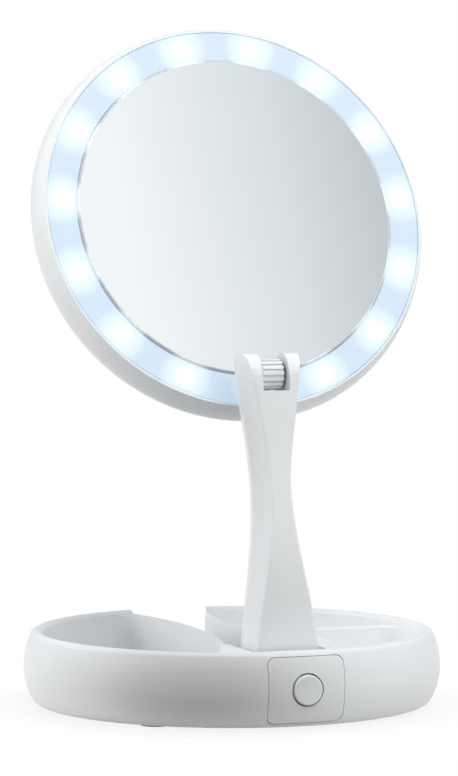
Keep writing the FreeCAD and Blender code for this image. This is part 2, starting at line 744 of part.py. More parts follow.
# Four cells in two columns, with the spring and plate contacts at the ends of the bay
def make_battery_pack():
    cells, springs, plates = [], [], []
    height = "foot_height + plate_thickness + bay_gap + cell_radius"
    for column in range(2):
        across = "cell_first + %d * cell_pitch" % column
        for row in range(2):
            start = "bay_half_length - contact_thickness"
            start += " - %d * cell_length - %d * cell_nub_length" % (row + 1, row + 1)
            can = cylinder("cell_can_%d%d" % (column, row), "cell_radius", "cell_length", node=False)
            place(can, across, start + " + cell_length", height, (1, 0, 0), 90)
            nub = cylinder("cell_nub_%d%d" % (column, row), "cell_nub_radius", "cell_nub_length", node=False)
            place(nub, across, start + " + cell_length + cell_nub_length", height, (1, 0, 0), 90)
            cell = doc.addObject("Part::Fuse", "cell_%d%d" % (column, row))
            cell.Base, cell.Tool = can, nub
            cells.append(cell)
        spring = doc.addObject("Part::Cone", "spring_%d" % column)
        gap = "2 * bay_half_length - 2 * contact_thickness - 2 * cell_length - 2 * cell_nub_length"
        bind(spring, Radius1="cell_nub_radius", Radius2="spring_radius", Height=gap)
        place(spring, across, "-bay_half_length + contact_thickness + " + gap, height, (1, 0, 0), 90)
        springs.append(spring)
        for end, along in (("back", "bay_half_length - contact_thickness"), ("front", "-bay_half_length")):
            plate = box("contact_%s_%d" % (end, column), "contact_size", "contact_thickness", "contact_size",
                        node=False)
            place(plate, across + " - contact_size / 2", along, height + " - contact_size / 2")
            plates.append(plate)
    group("battery_cells", cells)
    group("battery_springs", springs)
    group("battery_contacts", plates)


# Flush panel in the front wall, the round button in it and the switch behind
def make_button():
    body = new_body("button_panel")
    band = new_sketch(body, "panel_profile", "YZ_Plane")
    low = "heel_height + panel_margin"
    high = "shoulder_height - panel_margin"
    draw_loop(band, [
        ("-heel_radius", "heel_height"),
        ("-base_radius", "belly_height"),
        ("-shoulder_radius", "shoulder_height"),
        ("-shoulder_radius + base_wall", "shoulder_height"),
        ("-base_radius + base_wall", "belly_height"),
        ("-heel_radius + base_wall", "heel_height"),
    ], {0: ("upright", "end"), 1: ("upright", "start"), 3: ("upright", "end"), 4: ("upright", "start")})
    revolve(body, band, "panel_band")
    trim = new_sketch(body, "panel_outline", "XZ_Plane")
    draw_rounded(trim, "panel_width / 2", low, high, "panel_corner")
    draw_box(trim, "-2 * base_radius", "-base_radius", "2 * base_radius", "base_radius")
    extrude(body, trim, "Pocket", "panel_trim", "4 * base_radius", both=True)
    back = new_sketch(body, "panel_back", "XZ_Plane")
    draw_box(back, "-2 * base_radius", "-base_radius", "2 * base_radius", "base_radius")
    extrude(body, back, "Pocket", "panel_back_trim", "2 * base_radius")
    hole = new_sketch(body, "button_hole", "XZ_Plane")
    draw_circle(hole, "0", "belly_height", "button_radius + button_gap")
    extrude(body, hole, "Pocket", "button_hole_cut", "2 * base_radius", reverse=True)

    cap = new_body("power_button")
    profile = new_sketch(cap, "cap_profile", "XZ_Plane")
    face = "base_radius + button_proud"
    inside = "base_radius - base_wall - button_clearance"
    draw_loop(profile, [
        ("0", "stem_end"),
        ("stem_radius", "stem_end"),
        ("stem_radius", inside + " - button_flange_depth"),
        ("button_flange", inside + " - button_flange_depth"),
        ("button_flange", inside),
        ("button_radius", inside),
        ("button_radius", face + " - button_edge"),
        ("button_radius - button_edge", face),
        ("0", face),
    ], {6: ("upright", "start")})
    revolve(cap, profile, "cap_turned")
    place(cap, up="belly_height", axis=(1, 0, 0), angle=90)

    board_face = "-hinge_block_front - board_thickness"
    board = box("switch_board", "board_width", "board_thickness", "board_height")
    place(board, "-board_width / 2", board_face, "belly_height - board_height / 2")
    case = new_body("switch_body")
    square = new_sketch(case, "switch_case", "XZ_Plane", "hinge_block_front + board_thickness")
    half = "switch_size / 2"
    draw_box(square, "-" + half, "belly_height - " + half, half, "belly_height + " + half)
    extrude(case, square, "Pad", "switch_case_pad", "switch_depth")
    well = new_sketch(case, "plunger_well", "XZ_Plane", "hinge_block_front + board_thickness + switch_depth")
    opening = "plunger_size / 2 + plunger_gap"
    draw_box(well, "-plunger_size / 2 - plunger_gap", "belly_height - plunger_size / 2 - plunger_gap",
             opening, "belly_height + " + opening)
    extrude(case, well, "Pocket", "plunger_well_cut", "plunger_reach + button_travel + plunger_gap")
    reach = "stem_end - hinge_block_front - board_thickness - switch_depth + plunger_reach"
    plunger = box("switch_plunger", "plunger_size", reach, "plunger_size")
    place(plunger, "-plunger_size / 2", "-stem_end", "belly_height - plunger_size / 2")


# Arm stations from the foot to the fork: name of each half width, depth and distance along the arm
ARM_STATIONS = [
    ("-arm_heel", "arm_toe", "arm_foot", "arm_foot_front"),
    ("ankle_station", "ankle_front", "ankle_side", "ankle_depth"),
    ("shin_station", "shin_front", "shin_side", "shin_depth"),
    ("waist_station", "waist_front", "waist_side", "waist_depth"),
    ("neck_station", "neck_front", "neck_side", "neck_depth"),
    ("arm_length + fork_radius", "fork_front", "fork_side", "fork_radius"),
]


def loft_shell(body, front):
    """Loft half of the arm between its stations, in front of or behind the parting plane."""
    sections = []
    for index, (station, face, side, depth) in enumerate(ARM_STATIONS):
        sketch = new_sketch(body, "%s_station_%d" % (body.Label, index), "XY_Plane", station)
        if front:
            corners = [("-" + face, "-" + depth), (face, "-" + depth), (side, "0"), ("-" + side, "0")]
            draw_loop(sketch, corners, {1: ("upright", "start"), 3: ("upright", "end")})
        else:
            inset = side + " - back_inset"
            draw_loop(sketch, [("-" + side, "0"), (side, "0"), (inset, "arm_back"),
                               ("-" + side + " + back_inset", "arm_back")])
        sections.append(sketch)
    loft = body.newObject("PartDesign::AdditiveLoft", body.Label + "_loft")
    loft.Profile = sections[0]
    loft.Sections = sections[1:]
    doc.recompute()


def along_arm(edge):
    """Pick the long outer edges of a shell, off the parting plane."""
    extent = edge.BoundBox
    return extent.ZLength > value("arm_length / 2") and abs(extent.Center.y) > value("pin_radius")


# Arm: two lofted shells on the parting plane, with the fork, both hinge bores and the wire duct
def make_arm():
    for label, front in (("arm_front_shell", True), ("arm_rear_shell", False)):
        body = new_body(label)
        loft_shell(body, front)
        top = "arm_length + 2 * fork_radius"
        tip = new_sketch(body, label + "_tip", "YZ_Plane")
        sign = "-" if front else ""
        edge = sign + "fork_radius"
        far = sign + "2 * fork_radius"
        draw_loop(tip, [("0", "arm_length + fork_radius"), (edge, "arm_length"), (far, "arm_length"),
                        (far, top), ("0", top)], {0: ("upright", "end")})
        extrude(body, tip, "Pocket", label + "_tip_cut", "4 * fork_side", both=True)
        toe = new_sketch(body, label + "_toe", "YZ_Plane")
        if front:
            draw_loop(toe, [("0", "-arm_heel"), ("-arm_foot_front", "arm_heel"),
                            ("-2 * arm_foot_front", "arm_heel"), ("-2 * arm_foot_front", "-2 * arm_heel"),
                            ("0", "-2 * arm_heel")])
        else:
            draw_loop(toe, [("0", "-arm_heel"), ("arm_heel", "0"), ("2 * arm_heel", "0"),
                            ("2 * arm_heel", "-2 * arm_heel"), ("0", "-2 * arm_heel")],
                      {0: ("upright", "end")})
        extrude(body, toe, "Pocket", label + "_toe_cut", "4 * arm_foot", both=True)
        round_edges(body, label + "_edges", "front_round" if front else "back_round", along_arm)
        slot = new_sketch(body, label + "_fork_slot", "YZ_Plane")
        floor = "arm_length - slot_floor"
        if front:
            draw_box(slot, "-2 * fork_radius", floor, "0", top)
        else:
            back_floor = "arm_length - slot_back_floor - fork_radius / 2"
            draw_loop(slot, [("0", floor), ("2 * fork_radius", back_floor),
                             ("2 * fork_radius", top), ("0", top)])
        extrude(body, slot, "Pocket", label + "_fork_slot_cut", "fork_slot", both=True)
        for name, height, length in (("foot", "0", "4 * arm_foot"),
                                     ("fork", "arm_length", "2 * head_pin_half + 2 * washer_gap")):
            bore = new_sketch(body, "%s_%s_bore" % (label, name), "YZ_Plane")
            draw_circle(bore, "0", height, "pin_radius + pin_fit")
            extrude(body, bore, "Pocket", "%s_%s_bore_cut" % (label, name), length, both=True)
        duct = new_sketch(body, label + "_duct", "XY_Plane", "wire_start")
        draw_circle(duct, "-wire_place", "0", "wire_radius + wire_gap")
        extrude(body, duct, "Pocket", label + "_duct_cut", "wire_end - wire_start", reverse=True)
        holes = new_sketch(body, label + "_screw_holes", "XZ_Plane")
        for height in ("arm_screw_low", "arm_screw_high"):
            draw_circle(holes, "0", height, "screw_radius + screw_gap")
        if front:
            extrude(body, holes, "Pocket", label + "_screw_hole_cut",
                    "arm_screw_length - arm_back + screw_head_height", reverse=True)
        else:
            extrude(body, holes, "Pocket", label + "_screw_hole_cut", "2 * arm_back")
            sinks = new_sketch(body, label + "_screw_sinks", "XZ_Plane", "-arm_back + screw_head_height")
            for height in ("arm_screw_low", "arm_screw_high"):
                draw_circle(sinks, "0", height, "screw_head_radius + screw_gap")
            extrude(body, sinks, "Pocket", label + "_screw_sink_cut", "2 * arm_back")
        on_arm(body)

    screws = []
    for name, height in (("low", "arm_screw_low"), ("high", "arm_screw_high")):
        shaft = cylinder("arm_screw_shaft_" + name, "screw_radius", "arm_screw_length", node=False)
        place(shaft, "0", "arm_back - screw_gap", height, (1, 0, 0), 90)
        head = cylinder("arm_screw_head_" + name, "screw_head_radius", "screw_head_height - screw_gap",
                        node=False)
        place(head, "0", "arm_back - screw_gap", height, (1, 0, 0), 90)
        screw = doc.addObject("Part::Fuse", "arm_screw_" + name)
        screw.Base, screw.Tool = shaft, head
        screws.append(screw)
    on_arm(group("arm_screws", screws))

    wire = cylinder("arm_wire_core", "wire_radius", "wire_end - wire_start - 2 * wire_gap", node=False)
    place(wire, "-wire_place", "0", "wire_start + wire_gap")
    on_arm(group("arm_wire", [wire]))

    pin = cylinder("base_hinge_pin_core", "pin_radius",
                   "2 * arm_foot + 2 * foot_side_gap + 2 * hinge_ear - 2 * pin_end_gap", node=False)
    place(pin, "-arm_foot - foot_side_gap - hinge_ear + pin_end_gap", "-hinge_place", "hinge_height",
          (0, 1, 0), 90)
    group("base_hinge_pin", [pin])


# Head hinge: the floating pin with its two friction washers, and the ribbed knuckle on the head
def make_head_hinge():
    pin = cylinder("head_pin_core", "pin_radius", "2 * head_pin_half", node=False)
    place(pin, "-head_pin_half", "0", "arm_length", (0, 1, 0), 90)
    on_arm(group("head_hinge_pin", [pin]))
    washers = []
    for name, start in (("left", "-barrel_width / 2 - washer_gap - washer_thickness"),
                        ("right", "barrel_width / 2 + washer_gap")):
        disc = cylinder("washer_disc_" + name, "washer_radius", "washer_thickness", node=False)
        hole = cylinder("washer_hole_" + name, "pin_radius + pin_fit / 3", "washer_thickness", node=False)
        for solid in (disc, hole):
            place(solid, start, "0", "arm_length", (0, 1, 0), 90)
        washer = doc.addObject("Part::Cut", "washer_" + name)
        washer.Base, washer.Tool = disc, hole
        washers.append(washer)
    on_arm(group("friction_washers", washers))

    body = new_body("hinge_knuckle")
    barrel = new_sketch(body, "barrel", "YZ_Plane")
    draw_circle(barrel, "-pivot_front", "-pivot_drop", "barrel_radius")
    extrude(body, barrel, "Pad", "barrel_pad", "barrel_width", both=True)
    groove = new_sketch(body, "rib_groove", "YZ_Plane")
    top = "-pivot_drop + barrel_radius"
    draw_box(groove, "-pivot_front - rib_width / 2", top + " - rib_depth", "-pivot_front + rib_width / 2",
             top + " + rib_depth")
    cut = extrude(body, groove, "Pocket", "rib_groove_cut", "2 * barrel_width", both=True)
    centre = new_sketch(body, "barrel_axis", "YZ_Plane")
    centre.setExpression("AttachmentOffset.Base.x", bound("-pivot_front"))
    centre.setExpression("AttachmentOffset.Base.y", bound("-pivot_drop"))
    draw_circle(centre, "0", "0", "pin_radius + pin_fit")
    pattern = body.newObject("PartDesign::PolarPattern", "rib_grooves")
    pattern.Originals = [cut]
    pattern.Axis = (centre, ["N_Axis"])
    pattern.Angle = 360
    pattern.Occurrences = RIB_COUNT
    body.Tip = pattern
    doc.recompute()
    neck = new_sketch(body, "neck", "XZ_Plane", "-web_depth")
    draw_box(neck, "-neck_half_width", "-pivot_drop - neck_half_height", "neck_half_width",
             "-pivot_drop + neck_half_height")
    extrude(body, neck, "Pad", "neck_pad", "web_depth + pivot_front")
    lug = new_sketch(body, "lug", "XZ_Plane", "-web_depth")
    draw_box(lug, "-lug_half_width", "-pivot_drop - lug_half_height", "lug_half_width",
             "-pivot_drop + lug_half_height")
    extrude(body, lug, "Pad", "lug_pad", "lug_thickness")
    bore = new_sketch(body, "pin_bore", "YZ_Plane")
    draw_circle(bore, "-pivot_front", "-pivot_drop", "pin_radius + pin_fit")
    extrude(body, bore, "Pocket", "pin_bore_cut", "2 * barrel_width", both=True)
    holes = new_sketch(body, "lug_holes", "XZ_Plane", "-web_depth")
    for across in ("-lug_screw_place", "lug_screw_place"):
        draw_circle(holes, across, "-pivot_drop", "screw_radius + screw_gap")
    extrude(body, holes, "Pocket", "lug_hole_cut", "lug_thickness", reverse=True)
    on_head(body)

    screws = []
    for name, across in (("left", "-lug_screw_place"), ("right", "lug_screw_place")):
        shaft = cylinder("lug_screw_shaft_" + name, "screw_radius", "lug_thickness + web_thickness",
                         node=False)
        place(shaft, across, "web_depth + web_thickness", "-pivot_drop", (1, 0, 0), 90)
        head = cylinder("lug_screw_head_" + name, "screw_head_radius", "screw_head_height", node=False)
        place(head, across, "web_depth + web_thickness + screw_head_height", "-pivot_drop", (1, 0, 0), 90)
        screw = doc.addObject("Part::Fuse", "lug_screw_" + name)
        screw.Base, screw.Tool = shaft, head
        screws.append(screw)
    on_head(group("knuckle_screws", screws))


# Head shell: the bulged rim and the web that parts the lit front from the magnifying back
def make_head_shell():
    body = new_body("head_shell")
    profile = new_sketch(body, "head_profile", "XY_Plane")
    behind = "web_depth + web_thickness"
    draw_loop(profile, [
        ("0", "web_depth"),
        ("ledge_radius", "web_depth"),
        ("ledge_radius", "ring_thickness"),
        ("ring_outer + ring_gap", "ring_thickness"),
        ("ring_outer + ring_gap", "0"),
        ("head_edge", "0"),
        ("head_bulge", "bulge_depth"),
        ("head_back", "head_back_depth"),
        ("back_edge", "head_depth"),
        ("rear_seat", "head_depth"),
        ("rear_seat", "rear_ledge_depth"),
        ("rear_ledge", "rear_ledge_depth"),
        ("rear_ledge", "rear_ledge_depth - rear_ledge_thickness"),
        ("ledge_radius", "rear_ledge_depth - rear_ledge_thickness"),
        ("ledge_radius", behind),
        ("0", behind),
    ], {5: ("upright", "end"), 6: ("upright", "start"), 7: ("level", "end")})
    revolve(body, profile, "head_turned")
    holes = new_sketch(body, "web_holes", "XZ_Plane", "-web_depth - web_thickness")
    for across in ("-lug_screw_place", "lug_screw_place"):
        draw_circle(holes, across, "-pivot_drop", "screw_radius + screw_gap")
    extrude(body, holes, "Pocket", "web_hole_cut", "web_thickness", reverse=True)
    on_head(body)


# Light ring with the notch for the knuckle's neck, and the lamp board with its row of lamps behind it
def make_light():
    ring = new_body("light_ring")
    profile = new_sketch(ring, "ring_profile", "XY_Plane")
    draw_loop(profile, [
        ("ring_inner", "0"),
        ("ring_outer - ring_crown", "0"),
        ("ring_outer", "ring_crown"),
        ("ring_outer", "ring_thickness"),
        ("ring_inner", "ring_thickness"),
    ], {1: ("level", "start")})
    revolve(ring, profile, "ring_turned")
    notch = new_sketch(ring, "ring_notch", "XZ_Plane")
    draw_box(notch, "-neck_half_width - neck_slot_gap", "-pivot_drop - neck_half_height - neck_slot_gap",
             "neck_half_width + neck_slot_gap", "-pivot_drop + 2 * neck_half_height")
    extrude(ring, notch, "Pocket", "ring_notch_cut", "4 * ring_thickness", both=True)
    on_head(ring)

    board = new_body("led_board")
    band = new_sketch(board, "board_band", "XZ_Plane", "-web_depth")
    draw_circle(band, "0", "0", "board_outer")
    draw_circle(band, "0", "0", "board_inner")
    extrude(board, band, "Pad", "board_pad", "led_board_thickness")
    gap = new_sketch(board, "board_gap", "XZ_Plane")
    draw_box(gap, "-lug_half_width - neck_slot_gap", "-head_bulge",
             "lug_half_width + neck_slot_gap", "-pivot_drop / 2")
    extrude(board, gap, "Pocket", "board_gap_cut", "4 * web_depth", both=True)
    on_head(board)

    lamps = []
    for index in range(LED_COUNT):
        turn = "(%d * Sizes.led_step * 1deg + Sizes.led_step * 0.5deg)" % index
        if index == LED_COUNT // 2:
            continue
        lamp = box("lamp_%d" % index, "led_size", "led_height", "led_size", node=False)
        lamp.Placement = FreeCAD.Placement(FreeCAD.Vector(), FreeCAD.Rotation(FreeCAD.Vector(0, 1, 0), 1))
        half = "Sizes.led_size / 2"
        low = "(%s - %s)" % (bound("led_circle"), half)
        lamp.setExpression("Placement.Rotation.Angle", turn)
        lamp.setExpression("Placement.Base.x", "%s * sin%s - %s * cos%s" % (low, turn, half, turn))
        lamp.setExpression("Placement.Base.z", "%s * cos%s + %s * sin%s" % (low, turn, half, turn))
        lamp.setExpression("Placement.Base.y", bound("web_depth - led_board_thickness - led_height"))
        lamps.append(lamp)
    on_head(group("led_chips", lamps))


# Flat front mirror on its pad and carrier, and the dished rear mirror under its bezel
def make_mirrors():
    glass_back = "-glass_proud + glass_thickness"
    pad_back = glass_back + " + pad_thickness"
    turned = {
        "front_mirror": ([
            ("0", "-glass_proud"),
            ("glass_radius - glass_bevel", "-glass_proud"),
            ("glass_radius", "-glass_proud + glass_bevel"),
            ("glass_radius", glass_back),
            ("0", glass_back),
        ], {}),
        "mirror_pad": ([
            ("0", glass_back),
            ("pad_radius", glass_back),
            ("pad_radius", pad_back),
            ("0", pad_back),
        ], {}),
        "mirror_carrier": ([
            ("0", pad_back),
            ("carrier_radius", pad_back),
            ("carrier_radius", "web_depth"),
            ("carrier_radius - carrier_wall", "web_depth"),
            ("carrier_radius - carrier_wall", pad_back + " + carrier_plate"),
            ("0", pad_back + " + carrier_plate"),
        ], {}),
        "rear_mirror": ([
            ("0", "rear_ledge_depth - rear_glass_dish"),
            ("rear_ledge - bezel_gap", "rear_ledge_depth"),
            ("rear_glass_radius", "rear_ledge_depth"),
            ("rear_glass_radius", "rear_ledge_depth + rear_glass_edge"),
            ("rear_ledge - bezel_gap", "rear_ledge_depth + rear_glass_edge"),
            ("0", "rear_ledge_depth + rear_glass_edge - rear_glass_dish"),
        ], {0: ("level", "start"), 4: ("level", "end")}),
        "rear_bezel": ([
            ("bezel_inner", "rear_ledge_depth + rear_glass_edge"),
            ("rear_seat - bezel_gap", "rear_ledge_depth + rear_glass_edge"),
            ("rear_seat - bezel_gap", "head_depth"),
            ("bezel_inner + bezel_gap", "head_depth"),
        ], {}),
    }
    for label, (corners, arcs) in turned.items():
        body = new_body(label)
        profile = new_sketch(body, label + "_profile", "XY_Plane")
        draw_loop(profile, corners, arcs)
        revolve(body, profile, label + "_turned")
        on_head(body)


def check_and_write():
    """Stop on any failed object or bad shape, then write one file for each sub-part."""
    doc.recompute()
    for thing in doc.Objects:
        if "Invalid" in thing.State or "Error" in thing.State:
            raise RuntimeError("%s failed: %s" % (thing.Label, thing.State))
    for node in nodes:
        if node.Shape.isNull() or not node.Shape.isValid() or not node.Shape.Solids:
            raise RuntimeError("%s has no valid solid" % node.Label)
    os.makedirs("parts", exist_ok=True)
    for node in nodes:
        node.Shape.exportStep("parts/%s.step" % node.Label)
        print("%-18s %2d solid  %10.1f mm3" % (node.Label, len(node.Shape.Solids), node.Shape.Volume))


make_base_housing()
make_bottom()
make_battery_pack()
make_button()
make_arm()
make_head_hinge()
make_head_shell()
make_light()
make_mirrors()
check_and_write()
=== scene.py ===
import bpy
import math
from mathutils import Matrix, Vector

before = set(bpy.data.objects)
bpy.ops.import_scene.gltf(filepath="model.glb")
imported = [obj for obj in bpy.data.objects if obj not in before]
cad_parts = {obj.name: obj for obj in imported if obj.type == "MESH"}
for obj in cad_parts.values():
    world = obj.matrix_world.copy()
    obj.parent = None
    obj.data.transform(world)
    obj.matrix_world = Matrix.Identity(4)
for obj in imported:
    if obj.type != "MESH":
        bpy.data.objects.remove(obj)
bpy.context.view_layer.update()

# Camera: an ordinary lens at the photograph's viewing angle. It stands to the left of the button
# side, level with the mirror's head, and looks slightly down.
STAND_TURN = math.radians(-20.5)
STAND_DISTANCE = 1.50
STAND_HEIGHT = 0.209
STAND_PITCH = math.radians(3.196)
STAND_AIM = math.radians(0.042)
FOCAL_PIXELS = 3801.5
FRAME_PIXELS = 776.0
SENSOR_WIDTH = 36.0
scene = bpy.context.scene
scene.view_settings.view_transform = "Standard"
eye = bpy.data.cameras.new("studio_camera")
eye.sensor_width = SENSOR_WIDTH
eye.lens = FOCAL_PIXELS / FRAME_PIXELS * SENSOR_WIDTH
eye.clip_end = 20.0
eye_stand = bpy.data.objects.new("studio_camera", eye)
eye_stand.location = (math.sin(STAND_TURN) * STAND_DISTANCE,
                      -math.cos(STAND_TURN) * STAND_DISTANCE,
                      STAND_HEIGHT)
eye_stand.rotation_euler = (math.radians(90) - STAND_PITCH, 0.0, STAND_TURN + STAND_AIM)
scene.collection.objects.link(eye_stand)
scene.camera = eye_stand

# Table: a wide pale sheet, which the camera and the mirrors see as plain white. Close to the base
# it keeps part of its own tone, and with it the object's shadow.
TABLE_SPAN = 60.0
SHADOW_WITHIN = 0.078
WHITE_BEYOND = 0.104
SHADOW_WHITE = 0.87
bpy.ops.object.select_all(action="DESELECT")
bpy.ops.mesh.primitive_plane_add(size=TABLE_SPAN, location=(0.0, 0.0, 0.0))
table = bpy.context.object
table.name = "studio_table"


def blank_material(name):
    """A node material with one Principled shader, ready to be linked."""
    material = bpy.data.materials.new(name)
    material.use_nodes = True
    return material, material.node_tree, material.node_tree.nodes["Principled BSDF"]


def feed(tree, socket, value):
    """Set a socket to a plain value, or link another node's output to it."""
    if isinstance(value, bpy.types.NodeSocket):
        tree.links.new(value, socket)
    else:
        socket.default_value = value


def sums(tree, operation, *values):
    """The result of one Math node."""
    node = tree.nodes.new("ShaderNodeMath")
    node.operation = operation
    for socket, value in zip(node.inputs, values):
        feed(tree, socket, value)
    return node.outputs["Value"]


def noise(tree, scale, place=None, detail=2.0):
    """The value of a noise texture; without a place it follows the piece's own box."""
    node = tree.nodes.new("ShaderNodeTexNoise")
    feed(tree, node.inputs["Scale"], scale)
    node.inputs["Detail"].default_value = detail
    if place is not None:
        tree.links.new(place, node.inputs["Vector"])
    return node.outputs["Fac"]


def ramp(tree, value, *stops, ease="LINEAR"):
    """The colour of a ramp over a value; each stop is a position and its colour."""
    node = tree.nodes.new("ShaderNodeValToRGB")
    node.color_ramp.interpolation = ease
    elements = node.color_ramp.elements
    for element, (position, colour) in ((elements[0], stops[0]), (elements[1], stops[-1])):
        element.position = position
        element.color = (*colour, 1)
    for position, colour in stops[1:-1]:
        elements.new(position).color = (*colour, 1)
    tree.links.new(value, node.inputs["Fac"])
    return node.outputs["Color"]


def mix_shaders(tree, part, first, second):
    """The first shader with the second one mixed in, in the given part."""
    node = tree.nodes.new("ShaderNodeMixShader")
    for socket, value in zip(node.inputs, (part, first, second)):
        tree.links.new(value, socket)
    return node.outputs["Shader"]


table_paint, tree, shader = blank_material("table_paint")
tint = ramp(tree, noise(tree, scale=3.0), (0.0, (0.60, 0.60, 0.605)), (1.0, (0.64, 0.64, 0.64)))
tree.links.new(tint, shader.inputs["Base Color"])
shader.inputs["Roughness"].default_value = 0.30
shader.inputs["Specular IOR Level"].default_value = 0.35
place = tree.nodes.new("ShaderNodeTexCoord").outputs["Object"]
away = tree.nodes.new("ShaderNodeVectorMath")
away.operation = "LENGTH"
fade = tree.nodes.new("ShaderNodeMapRange")
fade.interpolation_type = "SMOOTHSTEP"
fade.inputs["From Min"].default_value = SHADOW_WITHIN
fade.inputs["From Max"].default_value = WHITE_BEYOND
fade.inputs["To Min"].default_value = SHADOW_WHITE
tree.links.new(place, away.inputs[0])
tree.links.new(away.outputs["Value"], fade.inputs["Value"])
white = tree.nodes.new("ShaderNodeEmission")
white.inputs["Strength"].default_value = 1.0
path = tree.nodes.new("ShaderNodeLightPath")
looked_at = sums(tree, "MAXIMUM", path.outputs["Is Camera Ray"], path.outputs["Is Glossy Ray"])
part_white = sums(tree, "MULTIPLY", fade.outputs["Result"], looked_at)
paint = mix_shaders(tree, part_white, shader.outputs["BSDF"], white.outputs["Emission"])
tree.links.new(paint, tree.nodes["Material Output"].inputs["Surface"])
table_paint.cycles.emission_sampling = "NONE"
table.data.materials.append(table_paint)

# Backdrop: white for the camera. It lights the object less from the front left, and what the
# mirrors show of it also darkens from one side to the other.
FRONT_LEFT = (-0.545, -0.839, 0.0)
SHADE_WAY = (0.937, 0.408, -0.051)
SHADE_STEEPNESS = 10.0
SHADE_MIDDLE = 0.5
GLOW_STRENGTH = 0.60
sky = bpy.data.worlds.new("studio_sky")
scene.world = sky
sky.use_nodes = True
tree = sky.node_tree
facing = tree.nodes.new("ShaderNodeTexCoord").outputs["Generated"]


def along(tree, vector, way):
    """How far a vector points along a fixed way."""
    node = tree.nodes.new("ShaderNodeVectorMath")
    node.operation = "DOT_PRODUCT"
    node.inputs[1].default_value = way
    tree.links.new(vector, node.inputs[0])
    return node.outputs["Value"]


def mix_colours(tree, part, first, second, way="MIX"):
    """Two colours mixed in the given part."""
    node = tree.nodes.new("ShaderNodeMix")
    node.data_type = "RGBA"
    node.blend_type = way
    for name, value in (("Factor", part), ("A", first), ("B", second)):
        feed(tree, node.inputs[name], value)
    return node.outputs["Result"]


dimmed = ramp(tree, along(tree, facing, FRONT_LEFT),
              (0.60, (0.97, 0.99, 1.0)), (0.92, (0.36, 0.37, 0.38)), ease="EASE")
across = sums(tree, "MULTIPLY_ADD", along(tree, facing, SHADE_WAY), SHADE_STEEPNESS, SHADE_MIDDLE)
shaded = ramp(tree, across,
              (0.20, (0.99, 1.0, 1.0)), (0.45, (0.85, 0.88, 0.89)),
              (0.62, (0.775, 0.81, 0.82)), (0.88, (0.61, 0.64, 0.65)))
seen = tree.nodes["Background"]
seen.inputs["Color"].default_value = (1, 1, 1, 1)
seen.inputs["Strength"].default_value = 1.0
glow = tree.nodes.new("ShaderNodeBackground")
glow.inputs["Strength"].default_value = GLOW_STRENGTH
gleam = tree.nodes.new("ShaderNodeBackground")
tree.links.new(dimmed, glow.inputs["Color"])
tree.links.new(mix_colours(tree, 1.0, dimmed, shaded, "MULTIPLY"), gleam.inputs["Color"])
path = tree.nodes.new("ShaderNodeLightPath")
unseen = mix_shaders(tree, path.outputs["Is Glossy Ray"],
                     glow.outputs["Background"], gleam.outputs["Background"])
whole = mix_shaders(tree, path.outputs["Is Camera Ray"], unseen, seen.outputs["Background"])
tree.links.new(whole, tree.nodes["World Output"].inputs["Surface"])

# Lamps: a broad soft box at each side and a larger one overhead, aimed at the middle of the
# object. The mirrors don't show them.
LAMP_AIM = Vector((0.0, 0.0, 0.12))
for name, place, size, power in (("left_softbox", (-1.4, 0.1, 0.5), 0.9, 8.0),
                                 ("right_softbox", (0.7, -1.2, 1.1), 0.9, 5.5),
                                 ("overhead_softbox", (0.0, -0.7, 1.5), 1.2, 13.0)):
    lamp = bpy.data.lights.new(name, "AREA")
    lamp.size = size
    lamp.energy = power
    lamp_stand = bpy.data.objects.new(name, lamp)
    lamp_stand.location = place
    aim = LAMP_AIM - Vector(place)
    lamp_stand.rotation_euler = aim.to_track_quat("-Z", "Y").to_euler()
    lamp_stand.visible_glossy = False
    scene.collection.objects.link(lamp_stand)

# Cards: three small dark cards in front of the base, on its left, which shade the front wall as in
# the photograph. Neither the camera nor the mirrors show them.
flag_cloth, tree, shader = blank_material("flag_cloth")
dye = ramp(tree, noise(tree, scale=900.0),
           (0.0, (0.020, 0.020, 0.022)), (1.0, (0.035, 0.035, 0.037)))
tree.links.new(dye, shader.inputs["Base Color"])
shader.inputs["Roughness"].default_value = 0.9
for name, turn_degrees, reach, height, lean_degrees, depth, width in (
        ("studio_flag_low", -33.0, 0.134, 0.001, 0.0, 0.090, 0.18),
        ("studio_flag_upright", -33.0, 0.164, 0.030, 90.0, 0.052, 0.16),
        ("studio_flag_top", -25.0, 0.150, 0.098, -32.0, 0.090, 0.075)):
    turn = math.radians(turn_degrees)
    place = (reach * math.sin(turn), -reach * math.cos(turn), height)
    bpy.ops.mesh.primitive_plane_add(size=1.0, location=place)
    flag = bpy.context.object
    flag.name = name
    flag.scale = (width, depth, 1.0)
    flag.rotation_euler = (math.radians(lean_degrees), 0.0, math.radians(180) + turn)
    flag.visible_camera = False
    flag.visible_glossy = False
    flag.data.materials.append(flag_cloth)


# Base housing: one injection moulding in satin white plastic, with the barrel wall, the rim,
# the deep pocket, the arm channel and the shallow tray formed in the same shot.
def between(tree, value, low, high):
    """A value from 0 to 1 carried over to a range."""
    node = tree.nodes.new("ShaderNodeMapRange")
    for name, given in (("Value", value), ("To Min", low), ("To Max", high)):
        feed(tree, node.inputs[name], given)
    return node.outputs["Result"]


def emboss(tree, shader, height, depth, strength):
    """Raise a shader's surface by a height value."""
    bump = tree.nodes.new("ShaderNodeBump")
    bump.inputs["Strength"].default_value = strength
    bump.inputs["Distance"].default_value = depth
    tree.links.new(height, bump.inputs["Height"])
    tree.links.new(bump.outputs["Normal"], shader.inputs["Normal"])


